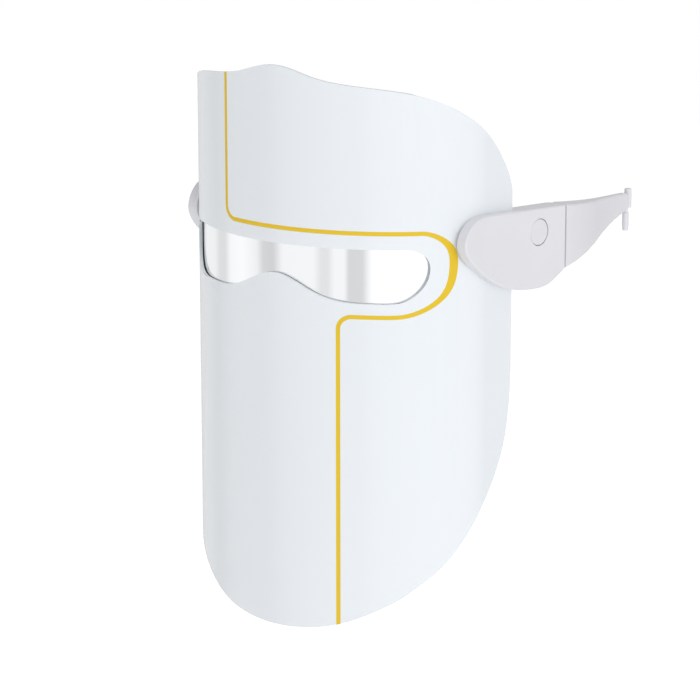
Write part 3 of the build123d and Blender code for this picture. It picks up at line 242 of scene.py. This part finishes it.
phosphor = surface(
    "led_phosphor", (0.85, 0.55, 0.06), 0.35, drift=0.06, drift_scale=800, subsurface=0.2
)
contact_gold = surface("contact_gold", (0.75, 0.55, 0.2), 0.25, metallic=1.0, drift=0.05)

slots = {entry["node"]: entry["material_slot"] for entry in frame["record"]["subparts"]}
for name, node in nodes.items():
    node.data.materials.clear()
    node.data.materials.append(finish[slots[name]])


# ---------------------------------------------------------------- helpers for modelled pieces

def islands(node):
    """The vertices of each loose solid in a CAD node, as arrays of points."""
    mesh = bmesh.new()
    mesh.from_mesh(node.data)
    bmesh.ops.remove_doubles(mesh, verts=mesh.verts, dist=WELD)
    seen = set()
    groups = []
    for start in mesh.verts:
        if start.index in seen:
            continue
        stack = [start]
        seen.add(start.index)
        group = []
        while stack:
            vertex = stack.pop()
            group.append(vertex.co.copy())
            for edge in vertex.link_edges:
                other = edge.other_vert(vertex)
                if other.index not in seen:
                    seen.add(other.index)
                    stack.append(other)
        groups.append(np.array(group))
    mesh.free()
    return groups


def wearer_side(point):
    """Direction from a place on the curved wall towards the inside of the mask, level."""
    return (FACE_CENTRE - Vector((point[0], point[1], 0))).normalized()


def merged(name, template, places, materials):
    """One mesh made of the template at every place. The template is (points, faces, slots)."""
    points, faces, slots_used = template
    all_points = []
    all_faces = []
    all_slots = []
    for place in places:
        start = len(all_points)
        all_points.extend([place @ Vector(point) for point in points])
        all_faces.extend([[start + corner for corner in face] for face in faces])
        all_slots.extend(slots_used)
    mesh = bpy.data.meshes.new(name)
    mesh.from_pydata(all_points, [], all_faces)
    for material in materials:
        mesh.materials.append(material)
    mesh.polygons.foreach_set("material_index", all_slots)
    outward = bmesh.new()
    outward.from_mesh(mesh)
    bmesh.ops.recalc_face_normals(outward, faces=outward.faces)
    outward.to_mesh(mesh)
    outward.free()
    mesh.update()
    piece = bpy.data.objects.new(name, mesh)
    scene.collection.objects.link(piece)
    return piece


def lathe(profile, segments):
    """Turn (radius, height) points round Z into a template of one material."""
    points = []
    faces = []
    rings = []
    for radius, height in profile:
        if radius == 0:
            rings.append([len(points)])
            points.append((0, 0, height))
            continue
        rings.append(list(range(len(points), len(points) + segments)))
        for step in range(segments):
            turn = 2 * pi * step / segments
            points.append((radius * cos(turn), radius * sin(turn), height))
    for low, high in zip(rings, rings[1:]):
        for step in range(segments):
            after = (step + 1) % segments
            if len(low) == 1:
                faces.append([low[0], high[after], high[step]])
            elif len(high) == 1:
                faces.append([low[step], low[after], high[0]])
            else:
                faces.append([low[step], low[after], high[after], high[step]])
    return points, faces, [0] * len(faces)


def smooth(piece, angle):
    """Shade smooth, keeping edges sharper than this many degrees."""
    for face in piece.data.polygons:
        face.use_smooth = True
    sharp = piece.modifiers.new("edges", "EDGE_SPLIT")
    sharp.split_angle = radians(angle)
    apply_all(piece)


def apply_all(piece):
    """Apply every modifier on a piece."""
    graph = bpy.context.evaluated_depsgraph_get()
    mesh = bpy.data.meshes.new_from_object(piece.evaluated_get(graph))
    piece.modifiers.clear()
    piece.data = mesh


def frame_at(centre, normal):
    """Placement with Z along the normal and X level."""
    across = Vector((0, 0, 1)).cross(normal).normalized()
    upward = normal.cross(across).normalized()
    place = Matrix((across, upward, normal)).transposed().to_4x4()
    place.translation = centre
    return place


# ---------------------------------------------------------------- light chips and lenses

BOX_FACES = ((0, 1, 3, 2), (4, 6, 7, 5), (0, 4, 5, 1), (2, 3, 7, 6), (1, 5, 7, 3), (0, 2, 6, 4))


def chip_template():
    """A surface-mounted light: moulded cup, phosphor window and two end contacts."""
    length, width, height = CHIP_SIZE
    corner, cup_corner = 0.0003, 0.0004
    bevel = 0.00012
    lip_in_x, lip_in_y = 0.00045, 0.0004
    cup_in_x, cup_in_y = 0.0007, 0.0006
    contact_length, contact_height, contact_proud = 0.0005, 0.00028, 0.00002
    body, window, contact = 0, 1, 2
    points = []
    faces = []
    used = []

    def ring(half_x, half_y, cut, z):
        start = len(points)
        for x_side, y_side in ((1, 1), (-1, 1), (-1, -1), (1, -1)):
            first = (x_side * half_x, y_side * (half_y - cut), z)
            second = (x_side * (half_x - cut), y_side * half_y, z)
            points.extend((first, second) if x_side * y_side > 0 else (second, first))
        return list(range(start, start + 8))

    def wall(low, high):
        for step in range(8):
            after = (step + 1) % 8
            faces.append([low[step], low[after], high[after], high[step]])
            used.append(body)

    base = ring(length / 2, width / 2, corner, 0)
    rim = ring(length / 2, width / 2, corner, height - bevel)
    top = ring(length / 2 - bevel, width / 2 - bevel, corner, height)
    lip = ring(length / 2 - lip_in_x, width / 2 - lip_in_y, cup_corner, height)
    cup = ring(length / 2 - cup_in_x, width / 2 - cup_in_y, cup_corner, height * 0.8)
    faces.append(list(reversed(base)))
    used.append(body)
    wall(base, rim)
    wall(rim, top)
    wall(top, lip)
    wall(lip, cup)
    faces.append(cup)
    used.append(window)
    for side in (1, -1):
        start = len(points)
        outer = side * (length / 2 + contact_proud)
        inner = side * (length / 2 - contact_length)
        for x in (outer, inner):
            for y in (-width * 0.36, width * 0.36):
                for z in (-contact_proud, contact_height):
                    points.append((x, y, z))
        for face in BOX_FACES:
            faces.append([start + corner for corner in face])
            used.append(contact)
    return points, faces, used


def lens_template():
    """A clear lens: plain back, straight barrel, stepped dome."""
    back, back_bevel = 0.0004, 0.0001
    steps = 5
    ledge, drop = 0.00012, 0.00008      # width and depth of each step of the dome
    profile = [
        (0, back), (LENS_RADIUS * 0.9, back), (LENS_RADIUS, back + back_bevel),
        (LENS_RADIUS, LENS_FLAT),
    ]
    for step in range(1, steps):
        share = 1 - step / steps
        height = LENS_FLAT + LENS_RISE * (1 - share ** 2) * 0.9
        profile.append((LENS_RADIUS * share + ledge, height))
        profile.append((LENS_RADIUS * share, height - drop))
    profile.append((0, LENS_FLAT + LENS_RISE * 0.95))
    return lathe(profile, 36)


def normal_of(place):
    """The Z direction of a placement."""
    return place.to_3x3() @ Vector((0, 0, 1))


chip = chip_template()
lens = lens_template()
for group in ("forehead", "left_cheek", "right_cheek", "chin"):
    node = nodes[group + "_led_chips"]
    places = []
    for solid in islands(node):
        middle = solid.mean(axis=0)
        centre = Vector(middle)
        normal = Vector(np.linalg.svd(solid - middle)[2][2])
        if normal.dot(wearer_side(centre)) < 0:
            normal.negate()
        places.append(frame_at(centre - normal * CHIP_SIZE[2] / 2, normal))
    piece = merged(group + "_lights", chip, places, [finish["led_body"], phosphor, contact_gold])
    smooth(piece, 35)
    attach(piece, "mask")
    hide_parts(group + "_led_chips")

    node = nodes[group + "_led_lenses"]
    lens_places = []
    for solid in islands(node):
        middle = Vector((solid.min(axis=0) + solid.max(axis=0)) / 2)
        chip_place = min(places, key=lambda place: (place.translation - middle).length)
        normal = normal_of(chip_place)
        lens_places.append(frame_at(chip_place.translation + normal * LENS_SET, normal))
    piece = merged(group + "_lenses", lens, lens_places, [finish["clear_lens"]])
    smooth(piece, 35)
    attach(piece, "mask")
    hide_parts(group + "_led_lenses")


# ---------------------------------------------------------------- screws

END_BAND = 1e-4     # how near to a screw's end a point counts as its end


def screw_template(length):
    """A pan-head screw along -Z, its face at Z 0, with a round recess and a ringed shaft."""
    head, deep, shaft = SCREW_HEAD_RADIUS, SCREW_HEAD_HEIGHT, SCREW_SHAFT_RADIUS
    pitch = 0.0005
    profile = [
        (0, -deep * 0.75), (head * 0.42, -deep * 0.7), (head * 0.46, -0.00004),
        (head * 0.86, 0), (head * 0.97, -0.00012), (head, -0.0003), (head, -deep), (shaft, -deep),
    ]
    for turn in range(int((length - deep - 0.0004) / pitch)):
        z = -deep - turn * pitch
        profile.append((shaft * 0.80, z - pitch * 0.3))
        profile.append((shaft, z - pitch * 0.6))
        profile.append((shaft, z - pitch * 0.7))
    profile += [(shaft * 0.55, -length + 0.0002), (0, -length)]
    return lathe(profile, 24)


def place_screws(node_name, length):
    """Replace a node's plain screws by modelled ones, each along its own axis, head outwards."""
    places = []
    for solid in islands(nodes[node_name]):
        centre = solid.mean(axis=0)
        axis = Vector(np.linalg.svd(solid - centre)[2][0])
        along = solid @ np.array(axis)
        low, high = along.min(), along.max()
        radial = solid - np.outer(along, np.array(axis))
        core = Vector(radial.mean(axis=0))
        reach = np.linalg.norm(radial - np.array(core), axis=1)
        if reach[along < low + END_BAND].max() > reach[along > high - END_BAND].max():
            axis.negate()
            high = -low
        places.append(frame_at(core + axis * high, axis))
    piece = merged(
        node_name + "_threaded", screw_template(length), places, [finish["screw_steel"]]
    )
    smooth(piece, 40)
    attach(piece, "mask")
    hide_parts(node_name)


place_screws("panel_screws", PANEL_SCREW_LENGTH)
place_screws("left_housing_screws", HOUSING_SCREW_LENGTH)
place_screws("right_housing_screws", HOUSING_SCREW_LENGTH)


# ---------------------------------------------------------------- soft parts

def soft_piece(name, node_name, voxel, passes, shape=None):
    """A moulded soft piece in the place of a plain solid, its edges rolled over, then shaped."""
    piece = bpy.data.objects.new(name, nodes[node_name].data.copy())
    scene.collection.objects.link(piece)
    piece.data.materials.clear()
    piece.data.materials.append(finish["soft_silicone"])
    weld = piece.modifiers.new("weld", "WELD")
    weld.merge_threshold = WELD
    skin = piece.modifiers.new("skin", "REMESH")
    skin.mode = "VOXEL"
    skin.voxel_size = voxel
    skin.use_smooth_shade = True
    relax = piece.modifiers.new("relax", "SMOOTH")
    relax.factor = 0.5
    relax.iterations = passes
    apply_all(piece)
    if shape:
        for vertex in piece.data.vertices:
            vertex.co = shape(vertex.co)
    finer = piece.modifiers.new("finer", "SUBSURF")
    finer.levels = 1
    finer.render_levels = 1
    apply_all(piece)
    for face in piece.data.polygons:
        face.use_smooth = True
    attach(piece, "mask")
    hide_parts(node_name)


pad_low, pad_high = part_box("forehead_pad")
PAD_MIDDLE = (pad_low[2] + pad_high[2]) / 2
PAD_HALF = (pad_high[2] - pad_low[2]) / 2
PAD_TURN = radians(22)          # half the pad's width round the wall
PAD_BACK = 0.0097               # the pad's back, as a depth behind the mask's face
CHANNELS = (-0.36, 0.36)        # moulded channels, as shares of PAD_TURN
CHANNEL_DEPTH = 0.0016
CHANNEL_SHARE = 0.055           # half a channel's width, as a share of PAD_TURN
CHANNEL_FADE = 0.002            # the channels shallow out where the pad is thinner than this
CHANNEL_PINCH = 0.08            # how far the outline draws in at a channel
EDGE_ROLL = 0.5                 # share of the thickness lost at the pad's edges
END_PULL = 0.3                  # share of the height lost at the pad's ends


def pillow(point):
    """Crown the forehead pad: ends pulled in, face rolled to the edges and dipped in channels."""
    spoke = Vector((point.x, point.y, 0)) - FACE_CENTRE
    along = atan2(spoke.x, -spoke.y) / PAD_TURN
    upward = (point.z - PAD_MIDDLE) / PAD_HALF
    lift = max(0.0, FACE_RADIUS - spoke.length - PAD_BACK)
    dip = sum(max(0.0, 1 - ((along - place) / CHANNEL_SHARE) ** 2) for place in CHANNELS)
    lift *= (1 - EDGE_ROLL * upward ** 2) * (1 - EDGE_ROLL * along ** 6)
    lift = max(0.0, lift - CHANNEL_DEPTH * dip * min(1.0, lift / CHANNEL_FADE))
    narrowing = 1 - END_PULL * along ** 8 - CHANNEL_PINCH * dip
    height = PAD_MIDDLE + (point.z - PAD_MIDDLE) * narrowing
    place = FACE_CENTRE + spoke.normalized() * (FACE_RADIUS - PAD_BACK - lift)
    return Vector((place.x, place.y, height))


soft_piece("eye_cushion", "eye_seal", 0.0008, 7)
soft_piece("nose_cushion", "nose_pad", 0.0006, 7)
soft_piece("forehead_cushion", "forehead_pad", 0.0006, 8, pillow)


# ---------------------------------------------------------------- stage, lights and camera

FLOOR_REACH = 3.0
FLOOR_DROP = 0.35        # floor below the chin
floor_z = cad_box[0][2] - FLOOR_DROP
floor_mesh = bpy.data.meshes.new("floor")
floor_mesh.from_pydata(
    [
        (x_side * FLOOR_REACH, y_side * FLOOR_REACH, floor_z)
        for x_side, y_side in ((-1, -1), (1, -1), (1, 1), (-1, 1))
    ],
    [],
    [(0, 1, 2, 3)],
)
floor = bpy.data.objects.new("floor", floor_mesh)
scene.collection.objects.link(floor)
pale = bpy.data.materials.new("pale_floor")
pale.use_nodes = True
pale_shader = pale.node_tree.nodes["Principled BSDF"]
pale_shader.inputs["Base Color"].default_value = (0.92, 0.92, 0.92, 1)
pale_shader.inputs["Roughness"].default_value = 0.9
pale_shader.inputs["Emission Color"].default_value = (1, 1, 1, 1)
pale_shader.inputs["Emission Strength"].default_value = 0.45
floor_mesh.materials.append(pale)
floor.visible_glossy = False

world = bpy.data.worlds.new("studio")
scene.world = world
world.use_nodes = True
tree = world.node_tree
background = tree.nodes["Background"]
direction = tree.nodes.new("ShaderNodeTexCoord")
split = tree.nodes.new("ShaderNodeSeparateXYZ")
tree.links.new(direction.outputs["Generated"], split.inputs["Vector"])
frontward = tree.nodes.new("ShaderNodeMath")
frontward.operation = "MULTIPLY"
frontward.inputs[1].default_value = -1.0
tree.links.new(split.outputs["Y"], frontward.inputs[0])
azimuth = tree.nodes.new("ShaderNodeMath")
azimuth.operation = "ARCTAN2"
tree.links.new(split.outputs["X"], azimuth.inputs[0])
tree.links.new(frontward.outputs["Value"], azimuth.inputs[1])
share = tree.nodes.new("ShaderNodeMapRange")
share.inputs["From Min"].default_value = -pi
share.inputs["From Max"].default_value = pi
tree.links.new(azimuth.outputs["Value"], share.inputs["Value"])

# Light levels round the mask: degrees from its front towards the wearer's left, and brightness.
TOP_LEVEL = 1.2
REFLECTED = (
    (-180, 0.60), (-135, 0.66), (-112, 0.93), (-98, 0.92), (-91, 0.77), (-84, 0.77), (-78, 0.99),
    (-66, 1.03), (-58, 0.97), (-53, 0.92), (-48, 0.71), (-40, 0.68), (-33, 0.97), (-12, 0.98),
    (-7, 0.82), (-3, 0.82), (1, 0.98), (7, 0.98), (10, 0.72), (18, 0.73), (22, 1.0), (25, 1.12),
    (115, 1.12), (140, 0.44), (180, 0.54),
)
SPREAD = (
    (-180, 0.78), (-115, 0.36), (-60, 0.17), (-10, 0.67), (30, 1.12), (72, 1.20), (95, 1.04),
    (120, 0.47), (180, 0.36),
)


def bands_ramp(bands):
    """A ramp of grey levels by azimuth. The first band is at -180 degrees and the last at 180."""
    ramp = tree.nodes.new("ShaderNodeValToRGB")
    tree.links.new(share.outputs["Result"], ramp.inputs["Fac"])
    stops = ramp.color_ramp.elements
    for angle, _ in bands[1:-1]:
        stops.new((angle + 180) / 360)
    for stop, (_, level) in zip(stops, bands):
        stop.color = (*[level / TOP_LEVEL] * 3, 1)
    return ramp


mirrored = bands_ramp(REFLECTED)
spread = bands_ramp(SPREAD)
ray = tree.nodes.new("ShaderNodeLightPath")
chooser = colour_mix(tree)
tree.links.new(ray.outputs["Is Glossy Ray"], chooser.inputs[MIX_FACTOR])
tree.links.new(spread.outputs["Color"], chooser.inputs[MIX_FIRST])
tree.links.new(mirrored.outputs["Color"], chooser.inputs[MIX_SECOND])
tree.links.new(chooser.outputs[MIX_RESULT], background.inputs["Color"])
background.inputs["Strength"].default_value = TOP_LEVEL
plain = tree.nodes.new("ShaderNodeBackground")
plain.inputs["Strength"].default_value = 1.0
plain.inputs["Color"].default_value = (1, 1, 1, 1)
seen = tree.nodes.new("ShaderNodeMixShader")
tree.links.new(ray.outputs["Is Camera Ray"], seen.inputs["Fac"])
tree.links.new(background.outputs["Background"], seen.inputs[1])
tree.links.new(plain.outputs["Background"], seen.inputs[2])
tree.links.new(seen.outputs["Shader"], tree.nodes["World Output"].inputs["Surface"])


def soft_light(name, place, size, power):
    """A square area light aimed at the mask."""
    data = bpy.data.lights.new(name, "AREA")
    data.size = size
    data.energy = power
    lamp = bpy.data.objects.new(name, data)
    lamp.location = place
    lamp.rotation_euler = (-Vector(place)).to_track_quat("-Z", "Y").to_euler()
    scene.collection.objects.link(lamp)


soft_light("key", (1.6, -1.0, 0.6), 1.2, 1.4)
soft_light("rear", (0.0, 1.6, 0.9), 1.2, 1.5)
soft_light("top", (0.1, -0.1, 1.9), 1.4, 2.2)

CAMERA_PLACE = (0.768135, -1.034894, 0.271797)
CAMERA_RIGHT = (0.80789, 0.58934, -0.00082)
CAMERA_UP = (-0.13855, 0.19128, 0.97171)
CAMERA_BEHIND = (0.57282, -0.78492, 0.23618)

camera_data = bpy.data.cameras.new("camera")
camera_data.sensor_width = 36.0
camera_data.lens = 159.70
camera_data.clip_start = 0.01
camera = bpy.data.objects.new("camera", camera_data)
pose = Matrix((CAMERA_RIGHT, CAMERA_UP, CAMERA_BEHIND)).transposed().to_4x4()
pose.translation = CAMERA_PLACE
camera.matrix_world = pose
scene.collection.objects.link(camera)
scene.camera = camera
scene.view_settings.view_transform = "Standard"

bpy.context.view_layer.update()
